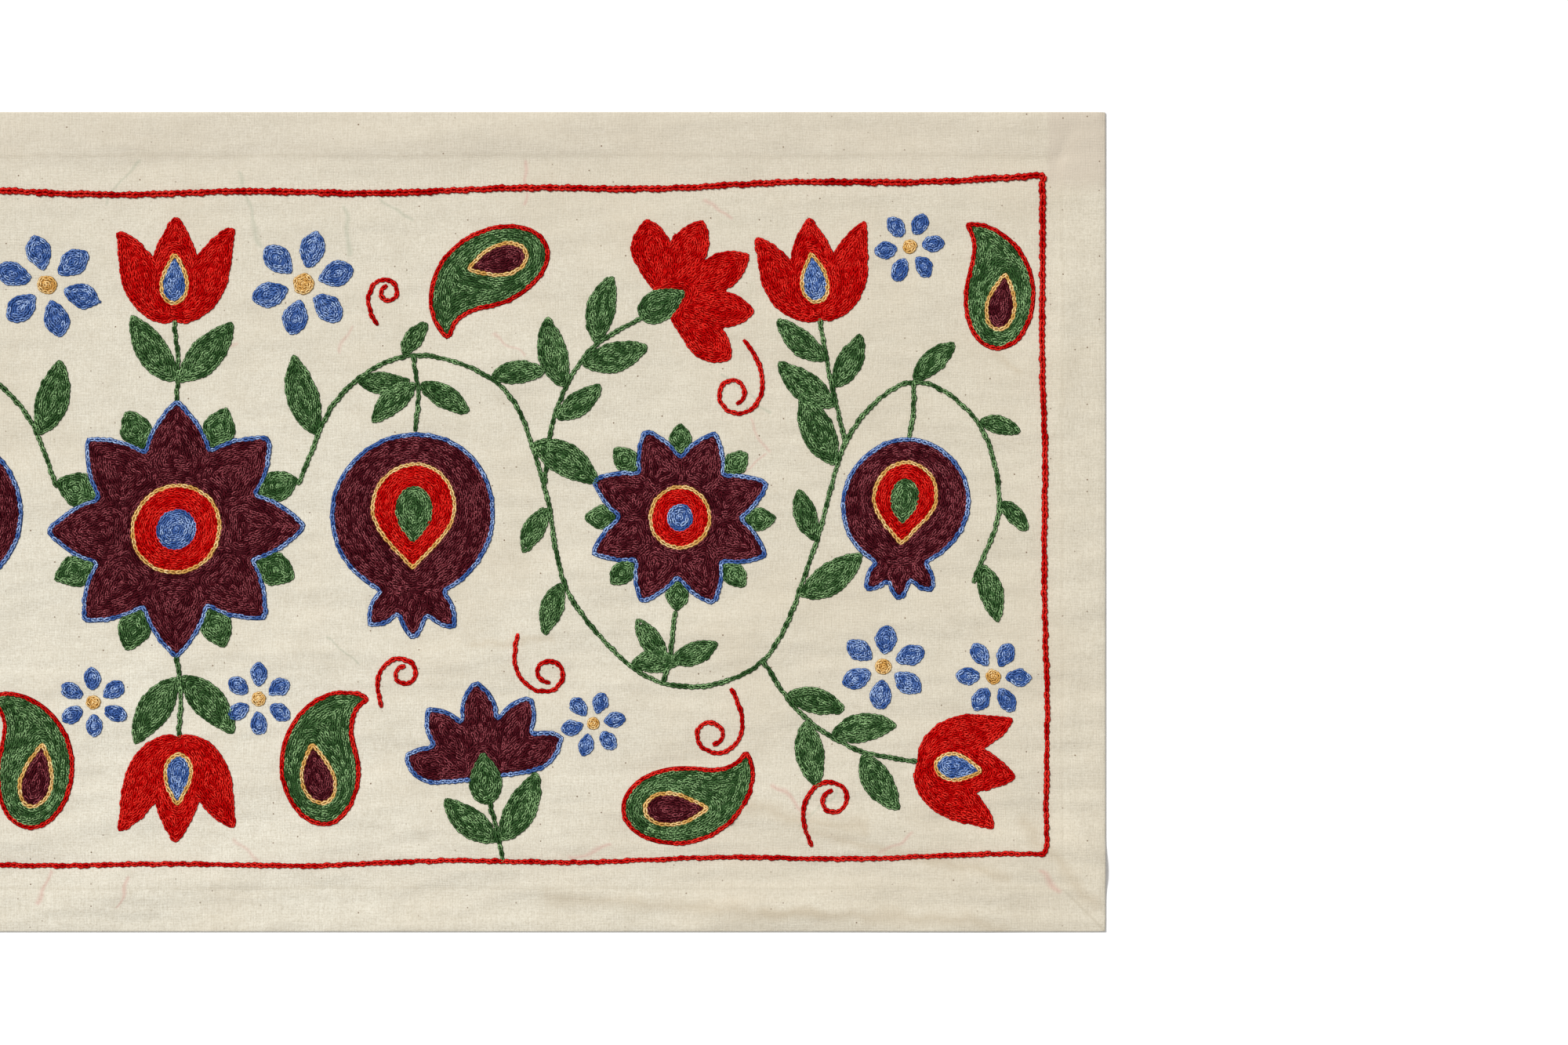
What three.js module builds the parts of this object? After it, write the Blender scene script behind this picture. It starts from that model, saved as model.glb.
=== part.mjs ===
import * as THREE from "three";
import { mergeVertices } from "three/addons/utils/BufferGeometryUtils.js";

// An embroidered cotton tablecloth, laid out flat with its right side up.
// Millimetres. +X runs along the cloth, +Y across it to the far long side, +Z up.
// The origin is under the middle of the cloth, on the surface that it lies on.

// Driving dimensions of the cloth.
const LENGTH = 1020;
const WIDTH = 450;
const FIELD_THICKNESS = 1.0;
const HEM_THICKNESS = 1.7;
const HEM_DEPTH = 24;
const HEM_SLOPE = 1.4;
const MITRE_WIDTH = 5;
const MITRE_HEIGHT = 0.5;

// The frame line is a row of thick chain stitches round the embroidered field. It is drawn by hand,
// so it rises towards both ends of the cloth, leans a little at the ends, and wavers.
const FRAME_END_X = 476.5;
const FRAME_END_LEAN = 0.009;
const FRAME_FAR_Y = 180.3;
const FRAME_FAR_RISE = 9;
const FRAME_NEAR_Y = -188.8;
const FRAME_NEAR_RISE = 6;
const FRAME_WAVER = 0.9;
const FRAME_WAVER_LENGTH = 150;
const CORD_WIDTH = 3.4;
const CORD_FLAT = 1.6;
const CORD_HEIGHT = 0.9;

// How finely the field inside the frame line is divided.
const FIELD_CELLS_X = 54;
const FIELD_CELLS_Y = 20;

// Soft folds where the cloth stands off the surface: each crest runs from one point to another.
const FOLDS = [
  { fromX: 250, fromY: -148, toX: 492, toY: -189, halfWidth: 17, height: 1.7 },
  { fromX: 196, fromY: -203, toX: 474, toY: -218, halfWidth: 13, height: 1.5 },
  { fromX: 478, fromY: -158, toX: 530, toY: -214, halfWidth: 12, height: 1.9 },
  { fromX: 80, fromY: -160, toX: 214, toY: -166, halfWidth: 16, height: 0.9 },
  { fromX: 152, fromY: 92, toX: 262, toY: 82, halfWidth: 17, height: 1.0 },
  { fromX: 300, fromY: 18, toX: 392, toY: 4, halfWidth: 16, height: 0.9 },
  { fromX: 484, fromY: 36, toX: 488, toY: 150, halfWidth: 12, height: 0.9 },
  { fromX: -62, fromY: 56, toX: 70, toY: 50, halfWidth: 17, height: 1.0 },
  { fromX: -210, fromY: -120, toX: -96, toY: -104, halfWidth: 17, height: 0.9 },
  { fromX: -330, fromY: 96, toX: -214, toY: 116, halfWidth: 16, height: 1.0 },
  { fromX: -490, fromY: -180, toX: -300, toY: -158, halfWidth: 17, height: 1.5 },
  { fromX: -528, fromY: 118, toX: -470, toY: 172, halfWidth: 13, height: 1.6 },
  { fromX: -420, fromY: 208, toX: -236, toY: 214, halfWidth: 13, height: 1.2 },
  { fromX: 40, fromY: 209, toX: 236, toY: 214, halfWidth: 13, height: 1.1 },
];

const { clamp, lerp, smoothstep } = THREE.MathUtils;

const waver = (along) => FRAME_WAVER * Math.sin((2 * Math.PI * along) / FRAME_WAVER_LENGTH);
const frameEndX = (y) => FRAME_END_X - FRAME_END_LEAN * y;
const frameFarY = (x) => FRAME_FAR_Y + FRAME_FAR_RISE * (Math.abs(x) / FRAME_END_X) ** 1.6 + waver(x);
const frameNearY = (x) => FRAME_NEAR_Y + (FRAME_NEAR_RISE * Math.abs(x)) / FRAME_END_X + waver(x + 40);

// The height of one fold's crest over a point: a round profile across, fading out at both ends.
function foldHeight(fold, x, y) {
  const crest = new THREE.Line3(
    new THREE.Vector3(fold.fromX, fold.fromY, 0),
    new THREE.Vector3(fold.toX, fold.toY, 0),
  );
  const point = new THREE.Vector3(x, y, 0);
  const along = crest.closestPointToPointParameter(point, true);
  const away = point.distanceTo(crest.at(along, new THREE.Vector3()));
  const across = clamp(away / fold.halfWidth, 0, 1);
  return fold.height * Math.cos((across * Math.PI) / 2) ** 2 * Math.sin(Math.PI * along);
}

// How far the underside stands off the surface.
const lift = (x, y) => FOLDS.reduce((sum, fold) => sum + foldHeight(fold, x, y), 0);

// The cloth's own thickness: one layer in the field, two in the hem, a ridge on each corner's mitre
// and the raised frame line.
function thickness(x, y) {
  const fromEnd = LENGTH / 2 - Math.abs(x);
  const fromSide = WIDTH / 2 - Math.abs(y);
  const inward = Math.min(fromEnd, fromSide);
  const hem = 1 - smoothstep(inward, HEM_DEPTH - HEM_SLOPE / 2, HEM_DEPTH + HEM_SLOPE / 2);
  const mitre = hem * (1 - smoothstep(Math.abs(fromEnd - fromSide), 0, MITRE_WIDTH));
  const overEnd = Math.abs(x) - frameEndX(y);
  const overSide = Math.max(y - frameFarY(x), frameNearY(x) - y);
  const fromCord = Math.abs(Math.max(overEnd, overSide));
  const cord = 1 - smoothstep(fromCord, CORD_FLAT / 2, CORD_WIDTH / 2 - 0.01);
  return lerp(FIELD_THICKNESS, HEM_THICKNESS, hem) + MITRE_HEIGHT * mitre + CORD_HEIGHT * cord;
}

// Where the grid is cut on one way across the cloth, from edge to edge: the hem, the frame line's
// flanks, the field, and the same again in reverse.
function cuts(half, frameLow, frameHigh, fieldCells) {
  const hem = [0, HEM_DEPTH / 2, HEM_DEPTH - HEM_SLOPE / 2, HEM_DEPTH + HEM_SLOPE / 2];
  const cord = [-CORD_WIDTH / 2, -CORD_FLAT / 2, CORD_FLAT / 2, CORD_WIDTH / 2];
  const field = Array.from({ length: fieldCells - 1 }, (_, i) => (i + 1) / fieldCells);
  return [
    ...hem.map((d) => d - half),
    ...cord.map((d) => frameLow + d),
    ...field.map((t) => lerp(frameLow + CORD_WIDTH / 2, frameHigh - CORD_WIDTH / 2, t)),
    ...cord.map((d) => frameHigh + d),
    ...hem.map((d) => half - d).reverse(),
  ];
}

// The place of grid point (i, j). The frame line's cuts follow its hand-drawn course.
function gridPoint(i, j) {
  const straightX = cuts(LENGTH / 2, -FRAME_END_X, FRAME_END_X, FIELD_CELLS_X)[i];
  const y = cuts(WIDTH / 2, frameNearY(straightX), frameFarY(straightX), FIELD_CELLS_Y)[j];
  const x = cuts(LENGTH / 2, -frameEndX(y), frameEndX(y), FIELD_CELLS_X)[i];
  return [x, y];
}

// The cloth in one piece, hems included: a fine box whose points are moved to the grid and raised.
function clothGeometry() {
  const cellsX = cuts(LENGTH / 2, -FRAME_END_X, FRAME_END_X, FIELD_CELLS_X).length - 1;
  const cellsY = cuts(WIDTH / 2, -FRAME_FAR_Y, FRAME_FAR_Y, FIELD_CELLS_Y).length - 1;
  const geometry = new THREE.BoxGeometry(1, 1, 1, cellsX, cellsY, 1);
  const place = geometry.getAttribute("position");
  for (let n = 0; n < place.count; n++) {
    const i = Math.round((place.getX(n) + 0.5) * cellsX);
    const j = Math.round((place.getY(n) + 0.5) * cellsY);
    const [x, y] = gridPoint(i, j);
    const underside = lift(x, y);
    const top = underside + thickness(x, y);
    place.setXYZ(n, x, y, place.getZ(n) > 0 ? top : underside);
  }
  geometry.deleteAttribute("normal");
  geometry.deleteAttribute("uv");
  const closed = mergeVertices(geometry);
  closed.computeVertexNormals();
  return closed;
}

const cotton = new THREE.MeshStandardMaterial({ color: 0xded5c2, roughness: 0.92, metalness: 0 });

const cloth = new THREE.Mesh(clothGeometry(), cotton);
cloth.name = "cloth";

const tablecloth = new THREE.Group();
tablecloth.add(cloth);

export default tablecloth;
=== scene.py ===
"""The looks of an embroidered cotton tablecloth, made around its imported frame.

Metres, +X along the cloth, +Y across it to the far long side, +Z up. The drawn design is in millimetres.
"""

import math

import bpy
import numpy as np
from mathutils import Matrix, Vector
from mathutils.geometry import delaunay_2d_cdt


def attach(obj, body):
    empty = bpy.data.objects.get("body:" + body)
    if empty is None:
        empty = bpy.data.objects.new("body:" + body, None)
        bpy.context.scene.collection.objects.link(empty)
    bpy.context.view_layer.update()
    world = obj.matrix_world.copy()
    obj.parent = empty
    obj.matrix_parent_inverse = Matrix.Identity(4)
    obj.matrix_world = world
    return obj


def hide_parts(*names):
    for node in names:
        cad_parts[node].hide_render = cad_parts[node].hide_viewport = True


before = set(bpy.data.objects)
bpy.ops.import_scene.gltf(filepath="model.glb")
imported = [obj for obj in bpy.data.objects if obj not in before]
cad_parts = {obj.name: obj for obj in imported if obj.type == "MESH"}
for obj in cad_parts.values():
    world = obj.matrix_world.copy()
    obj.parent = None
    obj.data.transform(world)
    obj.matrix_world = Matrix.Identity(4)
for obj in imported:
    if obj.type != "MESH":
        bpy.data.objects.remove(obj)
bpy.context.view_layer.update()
MM = 0.001


# The camera stands straight above the cloth, as the photograph shows it, with a long lens. The cloth's
# left part is outside its view.
VIEW_WIDTH = 0.861
VIEW_CENTRE = (0.3335, -0.0004)
LENS = 100.0
SENSOR = 36.0


def put(name, data):
    """Adds an object to the scene."""
    item = bpy.data.objects.new(name, data)
    bpy.context.scene.collection.objects.link(item)
    return item


camera_data = bpy.data.cameras.new("camera")
camera_data.lens = LENS
camera_data.sensor_width = SENSOR
camera = put("camera", camera_data)
camera.location = (*VIEW_CENTRE, VIEW_WIDTH * LENS / SENSOR)
bpy.context.scene.camera = camera


# The floor is a plain white sheet of paper under an even white room. One distant lamp at the far left,
# about half way up, picks out the stitches.
FLOOR_SIZE = 9.0
ROOM_LIGHT = 0.48
LAMP_STRENGTH = 3.0
LAMP_SOFTNESS = 12.0
LAMP_FROM = (-0.72, 0.68, 1.0)

half = FLOOR_SIZE / 2
floor_mesh = bpy.data.meshes.new("floor")
corners = [(-half, -half, 0), (half, -half, 0), (half, half, 0), (-half, half, 0)]
floor_mesh.from_pydata(corners, [], [(0, 1, 2, 3)])
floor = put("floor", floor_mesh)
paper = bpy.data.materials.new("white_paper")
paper.use_nodes = True
surface = paper.node_tree.nodes["Principled BSDF"].inputs
surface["Base Color"].default_value = (0.95, 0.95, 0.95, 1)
surface["Roughness"].default_value = 0.9
surface["Specular IOR Level"].default_value = 0.1
floor_mesh.materials.append(paper)

lamp_data = bpy.data.lights.new("lamp", "SUN")
lamp_data.energy = LAMP_STRENGTH
lamp_data.angle = math.radians(LAMP_SOFTNESS)
lamp = put("lamp", lamp_data)
lamp.rotation_euler = Vector(LAMP_FROM).to_track_quat("Z", "Y").to_euler()

room = bpy.data.worlds.new("room")
room.use_nodes = True
room.node_tree.nodes["Background"].inputs["Color"].default_value = (1, 1, 1, 1)
room.node_tree.nodes["Background"].inputs["Strength"].default_value = ROOM_LIGHT
bpy.context.scene.world = room
bpy.context.scene.view_settings.view_transform = "Standard"


# The ground cloth is one length of undyed plain-weave cotton. Its edges are turned to the back and sewn
# down, so the hem is two layers with a mitre at each corner. Soft folds lift it off the surface.
LENGTH = 1020.0
WIDTH = 450.0
FIELD_TOP = 1.0
FIELD_UNDER = 0.4
HEM_TOP = 1.4
HEM_UNDER = 0.02
LEAST_THICKNESS = 0.3
HEM_DEPTH = 24.0
HEM_SLOPE = 7.0
UNDER_HEM_SLOPE = 0.5
RIM = 0.85
MITRE_WIDTH = 3.5
MITRE_HEIGHT = 0.3
# Each fold or crease: x and y where it starts, x and y where it ends, half its width, and its height.
FOLDS = [
    (250, -148, 492, -189, 17, 1.7),
    (196, -203, 474, -218, 13, 1.5),
    (478, -158, 530, -214, 12, 1.9),
    (80, -160, 214, -166, 16, 0.9),
    (152, 92, 262, 82, 17, 1.0),
    (300, 18, 392, 4, 16, 0.9),
    (484, 36, 488, 150, 12, 0.9),
    (-62, 56, 70, 50, 17, 1.0),
    (-210, -120, -96, -104, 17, 0.9),
    (-330, 96, -214, 116, 16, 1.0),
    (-490, -180, -300, -158, 17, 1.5),
    (-528, 118, -470, 172, 13, 1.6),
    (-420, 208, -236, 214, 13, 1.2),
    (40, 209, 236, 214, 13, 1.1),
]
# Creases are in the top of the cloth alone. The height is negative where one is a trough.
CREASES = [
    (248, -143, 476, -186, 6.5, -1.0),
    (300, -160, 470, -178, 6.0, 0.8),
    (204, -198, 455, -216, 6.5, -1.0),
    (240, -212, 400, -208, 5.5, 0.7),
    (466, -150, 512, -206, 6.0, -1.05),
    (340, -176, 462, -204, 6.0, 0.7),
    (456, -88, 482, -142, 5.5, -0.5),
    (488, -150, 504, -190, 5.5, 0.6),
    (120, -206, 232, -214, 6.0, -0.6),
    (-40, -202, 92, -212, 6.0, 0.5),
    (478, 188, 496, 221, 5.5, -0.5),
    (-70, 20, 46, 14, 6.0, -0.35),
    (-92, -44, -14, -50, 6.0, -0.35),
    (60, -92, 150, -98, 6.0, -0.4),
    (210, 120, 330, 113, 6.0, -0.35),
    (300, -104, 368, -96, 6.0, -0.35),
    (-380, 20, -250, 34, 6.0, -0.4),
    (-470, -60, -380, -84, 6.0, -0.45),
]
GRID_STEP = 4.3
# The grid is finer over the hem's inner edge. Its lines there, by how far outside that edge they are, and
# how far from it the even grid begins again.
EDGE_LINES = np.array([-3.0, -1.5, -0.3, 0.3, 1.5, 3.0])
EDGE_MARGIN = 6.5
RIM_ANGLES = np.radians([55, 20, -20, -55])


def crest(fold, x, y):
    """The height of a fold over each point: round across, and fading out at both ends."""
    start_x, start_y, end_x, end_y, half_width, height = fold
    start = np.array([start_x, start_y], float)
    along = np.array([end_x, end_y], float) - start
    share = np.clip(((x - start[0]) * along[0] + (y - start[1]) * along[1]) / (along @ along), 0, 1)
    away = np.hypot(x - start[0] - share * along[0], y - start[1] - share * along[1])
    return height * np.cos(np.clip(away / half_width, 0, 1) * math.pi / 2) ** 2 * np.sin(math.pi * share)


def lift(x, y):
    """How far the folds hold the cloth off the surface."""
    return sum(crest(fold, x, y) for fold in FOLDS)


def pucker(x, y):
    """The slight waviness that the stitching draws into the cloth."""
    long_waves = np.sin(x / 23 + 1.7 * np.sin(y / 41)) * np.sin(y / 11.3 + 0.9 * np.sin(x / 57))
    short_waves = np.sin(x / 9.1 + y / 37) * np.sin(y / 5.3 - x / 71)
    return 0.13 * long_waves + 0.06 * short_waves


def hem_share(x, y, slope):
    """1 in the hem, 0 in the field, and a slope between them."""
    inward = np.minimum(LENGTH / 2 - np.abs(x), WIDTH / 2 - np.abs(y))
    t = np.clip((inward - HEM_DEPTH + slope / 2) / slope, 0, 1)
    return 1 - t * t * (3 - 2 * t)


def top_height(x, y):
    """The height of the cloth's right side, in millimetres."""
    hem = hem_share(x, y, HEM_SLOPE)
    off_mitre = np.abs((LENGTH / 2 - np.abs(x)) - (WIDTH / 2 - np.abs(y)))
    mitre = hem * np.clip(1 - off_mitre / MITRE_WIDTH, 0, 1) ** 2
    creases = sum(crest(crease, x, y) for crease in CREASES)
    smooth = FIELD_TOP + (HEM_TOP - FIELD_TOP) * hem + MITRE_HEIGHT * mitre + pucker(x, y) * (1 - hem)
    return np.maximum(lift(x, y) + smooth + creases, HEM_UNDER + LEAST_THICKNESS)


def under_height(x, y):
    """The height of the cloth's wrong side: the hem's folded edge steps down to just over the surface."""
    field = 1 - hem_share(x, y, UNDER_HEM_SLOPE)
    level = lift(x, y) + HEM_UNDER + (FIELD_UNDER + pucker(x, y)) * field
    return np.maximum(np.minimum(level, top_height(x, y) - LEAST_THICKNESS), HEM_UNDER)


def grid_lines(size):
    """Where the cloth is divided one way: finely over the hem's edge, and evenly elsewhere."""
    edge = size / 2 - HEM_DEPTH
    near_edge = edge + EDGE_LINES
    hem = np.linspace(edge + EDGE_MARGIN, size / 2 - RIM, 5)
    inner = edge - EDGE_MARGIN
    field = np.linspace(-inner, inner, round(2 * inner / GRID_STEP) + 1)
    return np.concatenate([-hem[::-1], -near_edge[::-1], field, near_edge, hem])


def smooth_mesh(name, points, edges, faces):
    mesh = bpy.data.meshes.new(name)
    mesh.from_pydata(points.tolist(), edges, faces)
    mesh.polygons.foreach_set("use_smooth", [True] * len(mesh.polygons))
    return mesh


def cloth_mesh():
    """A closed sheet: a grid for each side of the cloth, and round rims between them."""
    xs = grid_lines(LENGTH)
    ys = grid_lines(WIDTH)
    x, y = np.meshgrid(xs, ys)
    top = np.dstack([x, y, top_height(x, y)]).reshape(-1, 3)
    under = np.dstack([x, y, under_height(x, y)]).reshape(-1, 3)
    index = np.arange(x.size).reshape(x.shape)
    quads = np.dstack([index[:-1, :-1], index[:-1, 1:], index[1:, 1:], index[1:, :-1]]).reshape(-1, 4)
    ring = np.concatenate([index[0, :-1], index[:-1, -1], index[-1, :0:-1], index[:0:-1, 0]])
    outward = np.sign(top[ring, :2]) * (np.abs(top[ring, :2]) > np.array([xs[-1], ys[-1]]) - 1e-6)
    outward /= np.linalg.norm(outward, axis=1)[:, None]
    middle = (top[ring, 2] + under[ring, 2]) / 2
    half_thick = (top[ring, 2] - under[ring, 2]) / 2
    loops = [ring]
    rim = []
    for angle in RIM_ANGLES:
        reach = top[ring, :2] + outward * RIM * math.cos(angle)
        loops.append(2 * len(top) + len(ring) * len(rim) + np.arange(len(ring)))
        rim.append(np.column_stack([reach, middle + half_thick * math.sin(angle)]))
    loops.append(ring + len(top))
    sides = []
    for upper, lower in zip(loops, loops[1:]):
        sides.append(np.column_stack([lower, np.roll(lower, -1), np.roll(upper, -1), upper]))
    points = np.vstack([top, under, *rim]) * MM
    faces = np.vstack([quads, quads[:, ::-1] + len(top), *sides])
    return smooth_mesh("ground_cloth", points, [], faces.tolist())


class Wiring:
    """Adds nodes to a tree. A node's input is a value, or another node's output."""

    def __init__(self, tree):
        self.tree = tree

    def plug(self, socket, value):
        if isinstance(value, bpy.types.NodeSocket):
            self.tree.links.new(value, socket)
        else:
            socket.default_value = value

    def set(self, node, name, value):
        self.plug(next(s for s in node.inputs if s.enabled and s.name.lower() == name.lower()), value)

    def add(self, kind, settings=None, **inputs):
        node = self.tree.nodes.new(kind)
        for name, value in (settings or {}).items():
            setattr(node, name, value)
        for name, value in inputs.items():
            self.set(node, name.replace("_", " "), value)
        return node

    def math(self, operation, *values):
        node = self.add("ShaderNodeMath", {"operation": operation})
        for socket, value in zip(node.inputs, values):
            self.plug(socket, value)
        return node.outputs[0]

    def vector(self, operation, *values):
        node = self.add("ShaderNodeVectorMath", {"operation": operation})
        for socket, value in zip(node.inputs, values):
            self.plug(socket, value)
        return node.outputs["Value" if operation in ("DISTANCE", "DOT_PRODUCT", "LENGTH") else "Vector"]

    def noise(self, place, scale, **settings):
        return self.add("ShaderNodeTexNoise", Vector=place, Scale=scale, **settings).outputs["Fac"]

    def ramp(self, value, low, high):
        """0 up to low, 1 from high."""
        node = self.add("ShaderNodeMapRange", {"clamp": True}, Value=value, From_Min=low, From_Max=high)
        return node.outputs[0]

    def blend(self, mask, first, second):
        node = self.add("ShaderNodeMix", {"data_type": "RGBA"})
        for number, value in ((0, mask), (6, first), (7, second)):
            self.plug(node.inputs[number], value)
        return node.outputs[2]

    def tone(self, colour, mask, share, other):
        """The colour, turned towards the other by this share where the mask is 1."""
        return self.blend(self.math("MULTIPLY", mask, share), colour, other)


def node_group(kind, name, inputs, outputs):
    """A node group with these sockets: its wiring, what it is given, and its end."""
    tree = bpy.data.node_groups.new(name, kind)
    for way, sockets in (("INPUT", inputs), ("OUTPUT", outputs)):
        for label, socket_kind in sockets.items():
            tree.interface.new_socket(label, in_out=way, socket_type="NodeSocket" + socket_kind)
    w = Wiring(tree)
    return w, w.add("NodeGroupInput").outputs, w.add("NodeGroupOutput")


def new_material(name):
    """A material, its wiring and its shader."""
    material = bpy.data.materials.new(name)
    material.use_nodes = True
    return material, Wiring(material.node_tree), material.node_tree.nodes["Principled BSDF"]


WEAVE_PITCH = 0.00062
YARN_WANDER = 0.0016
YARN_ROUNDNESS = 0.35
# Slubs are streaks of noise, drawn out along the weft and along the warp.
SLUB_STRETCHES = [(0.16, 1, 1), (1, 0.13, 1)]


def plain_weave():
    """A shader group: the height of a plain weave's yarns, and how thick and dark each yarn runs."""
    outputs = {"Height": "Float", "Slubs": "Float"}
    w, given, end = node_group("ShaderNodeTree", "Plain weave", {"Place": "Vector"}, outputs)
    wander = w.noise(given["Place"], 60.0, Detail=1.0)
    shift = w.math("MULTIPLY", w.math("SUBTRACT", wander, 0.5), YARN_WANDER)
    split = w.add("ShaderNodeSeparateXYZ", Vector=given["Place"])
    waves = []
    for axis in ("X", "Y"):
        count = w.math("DIVIDE", w.math("ADD", split.outputs[axis], shift), WEAVE_PITCH)
        waves.append(w.math("SINE", w.math("MULTIPLY", count, math.pi)))
    round_x, round_y = (w.math("ABSOLUTE", wave) for wave in waves)
    warp = w.math("MULTIPLY", round_x, w.math("POWER", round_y, YARN_ROUNDNESS))
    weft = w.math("MULTIPLY", round_y, w.math("POWER", round_x, YARN_ROUNDNESS))
    warp_on_top = w.math("GREATER_THAN", w.math("MULTIPLY", *waves), 0.0)
    over = w.add("ShaderNodeMix", {"data_type": "FLOAT"}, Factor=warp_on_top, A=weft, B=warp)
    w.set(end, "Height", over.outputs[0])
    streaks = []
    for stretch in SLUB_STRETCHES:
        drawn = w.vector("MULTIPLY", given["Place"], stretch)
        streaks.append(w.noise(drawn, 1100.0, Detail=2.0, Roughness=0.6))
    w.set(end, "Slubs", w.math("MULTIPLY", w.math("ADD", *streaks), 0.5))
    return w.tree


def hem_lines():
    """A shader group: masks of the hem's turned edge with the corner mitres, and of the duller far side."""
    outputs = {"Edge": "Float", "Far side": "Float"}
    w, given, end = node_group("ShaderNodeTree", "Hem lines", {"Place": "Vector"}, outputs)
    split = w.add("ShaderNodeSeparateXYZ", Vector=given["Place"])
    across = split.outputs["Y"]
    from_end = w.math("SUBTRACT", LENGTH / 2 * MM, w.math("ABSOLUTE", split.outputs["X"]))
    from_side = w.math("SUBTRACT", WIDTH / 2 * MM, w.math("ABSOLUTE", across))
    inward = w.math("MINIMUM", from_end, from_side)
    uneven = w.add("ShaderNodeTexNoise", Vector=given["Place"], Scale=14.0)
    edge_at = w.math("MULTIPLY_ADD", uneven.outputs["Fac"], 0.003, (HEM_DEPTH - 1.5) * MM)
    off_edge = w.math("ABSOLUTE", w.math("SUBTRACT", inward, edge_at))
    off_mitre = w.math("ABSOLUTE", w.math("SUBTRACT", from_end, from_side))
    in_hem = w.ramp(inward, (HEM_DEPTH + 1) * MM, (HEM_DEPTH - 1) * MM)
    mitre = w.math("MULTIPLY", w.ramp(off_mitre, 0.0016, 0.0004), in_hem)
    edge = w.math("MULTIPLY", w.ramp(off_edge, 0.0016, 0.0003), 0.6)
    w.set(end, "Edge", w.math("MAXIMUM", edge, mitre))
    corner = w.math("MULTIPLY", w.ramp(from_end, 0.034, 0.03), w.ramp(across, 0.179, 0.189))
    far_side = w.math("MULTIPLY", w.ramp(across, 0.185, 0.205), 0.3)
    w.set(end, "Far side", w.math("MAXIMUM", far_side, corner))
    return w.tree


def soft_line():
    """A shader group: a mask of a straight soft line on the cloth: a thread's tail seen through it, soil, or
    brown painted shade along a crease or fold.
    """
    inputs = {"Place": "Vector", "From": "Vector", "Run": "Vector", "Half width": "Float"}
    w, given, end = node_group("ShaderNodeTree", "Soft line", inputs, {"Mask": "Float"})
    run = given["Run"]
    offset = w.vector("SUBTRACT", given["Place"], given["From"])
    passed = w.math("DIVIDE", w.vector("DOT_PRODUCT", offset, run), w.vector("DOT_PRODUCT", run, run))
    share = w.add("ShaderNodeClamp", Value=passed).outputs[0]
    foot = w.add("ShaderNodeVectorMath", {"operation": "SCALE"}, Vector=run, Scale=share).outputs[0]
    away = w.vector("LENGTH", w.vector("MULTIPLY", w.vector("SUBTRACT", offset, foot), (1, 1, 0)))
    near = w.math("SUBTRACT", 1.0, w.math("DIVIDE", away, given["Half width"]))
    w.set(end, "Mask", w.add("ShaderNodeClamp", Value=near).outputs[0])
    return w.tree


COTTON = (0.725, 0.665, 0.54, 1)
COTTON_PAINTED_LIGHT = (0.825, 0.785, 0.668, 1)
COTTON_SHADE = (0.5, 0.44, 0.33, 1)
COTTON_WARM = (0.64, 0.55, 0.41, 1)
COTTON_DULL = (0.585, 0.505, 0.405, 1)
HUSK = (0.20, 0.13, 0.08, 1)
# Painted light: towards this place in the middle of the near side, and out to this reach, the cotton is
# painted paler, as if brighter light fell there.
PAINTED_LIGHT_CENTRE = (0, -0.11, 0)
PAINTED_LIGHT_REACH = 0.42
# Faint lines on the cloth: tails of red and green thread on the wrong side show through it, and brown lines
# along the creases and folds are painted shade, with soil where they lie away from them. Each row: x and y
# where it starts, its run in x and y, half its width, its strength.
RED_TAILS = [
    (196, 182, 2, 22, 1.3, 0.5),
    (222, -176, 24, 5, 1.5, 0.5),
    (352, -152, -19, 12, 1.9, 0.5),
    (-62, -186, -8, -18, 1.5, 0.5),
    (-20, -188, -6, -18, 1.3, 0.5),
    (478, -186, 14, -12, 2.0, 0.5),
    (330, 44, -18, -14, 1.2, 0.45),
    (196, 96, -15, 14, 1.3, 0.4),
    (-300, -150, 30, 10, 1.3, 0.4),
    (312, 172, -16, 10, 1.4, 0.45),
    (296, 152, -10, -16, 1.2, 0.4),
    (104, 112, -8, -14, 1.6, 0.4),
    (392, -176, 16, 12, 1.5, 0.45),
    (440, -106, 18, 4, 1.2, 0.4),
    (322, 62, 10, -16, 1.4, 0.4),
    (52, -178, -14, 8, 1.6, 0.4),
    (24, 98, 16, 6, 1.3, 0.4),
]
GREEN_TAILS = [
    (-32, 180, 18, 26, 1.5, 0.5),
    (40, 196, 12, -38, 1.9, 0.45),
    (98, 178, 3, -26, 2.2, 0.5),
    (118, 184, 18, -12, 1.2, 0.5),
    (88, -56, 20, -14, 1.0, 0.5),
    (306, 86, 28, -20, 1.0, 0.5),
    (200, -82, -14, -30, 1.0, 0.45),
    (346, -160, 26, 20, 1.2, 0.45),
    (-420, 120, -20, -16, 1.3, 0.45),
]
# Brown painted shade along the creases and folds, and soil where a mark lies away from them.
CREASE_SHADE_AND_SOIL = [
    (262, -142, 120, -20, 7.0, 0.45),
    (350, -164, 110, -24, 5.0, 0.45),
    (210, -200, 150, -10, 6.0, 0.4),
    (330, -206, 130, -10, 5.0, 0.45),
    (470, -158, 38, -46, 6.0, 0.45),
    (454, 96, 16, -8, 3.0, 0.4),
    (170, -62, 42, 4, 3.5, 0.4),
    (-460, -164, 120, 18, 6.0, 0.4),
]
MARKS = [
    ((0.6, 0.33, 0.28, 1), RED_TAILS),
    ((0.42, 0.44, 0.33, 1), GREEN_TAILS),
    ((0.52, 0.43, 0.3, 1), CREASE_SHADE_AND_SOIL),
]
# How far a mark strays from its straight line.
MARK_WAVER = 0.012


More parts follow.
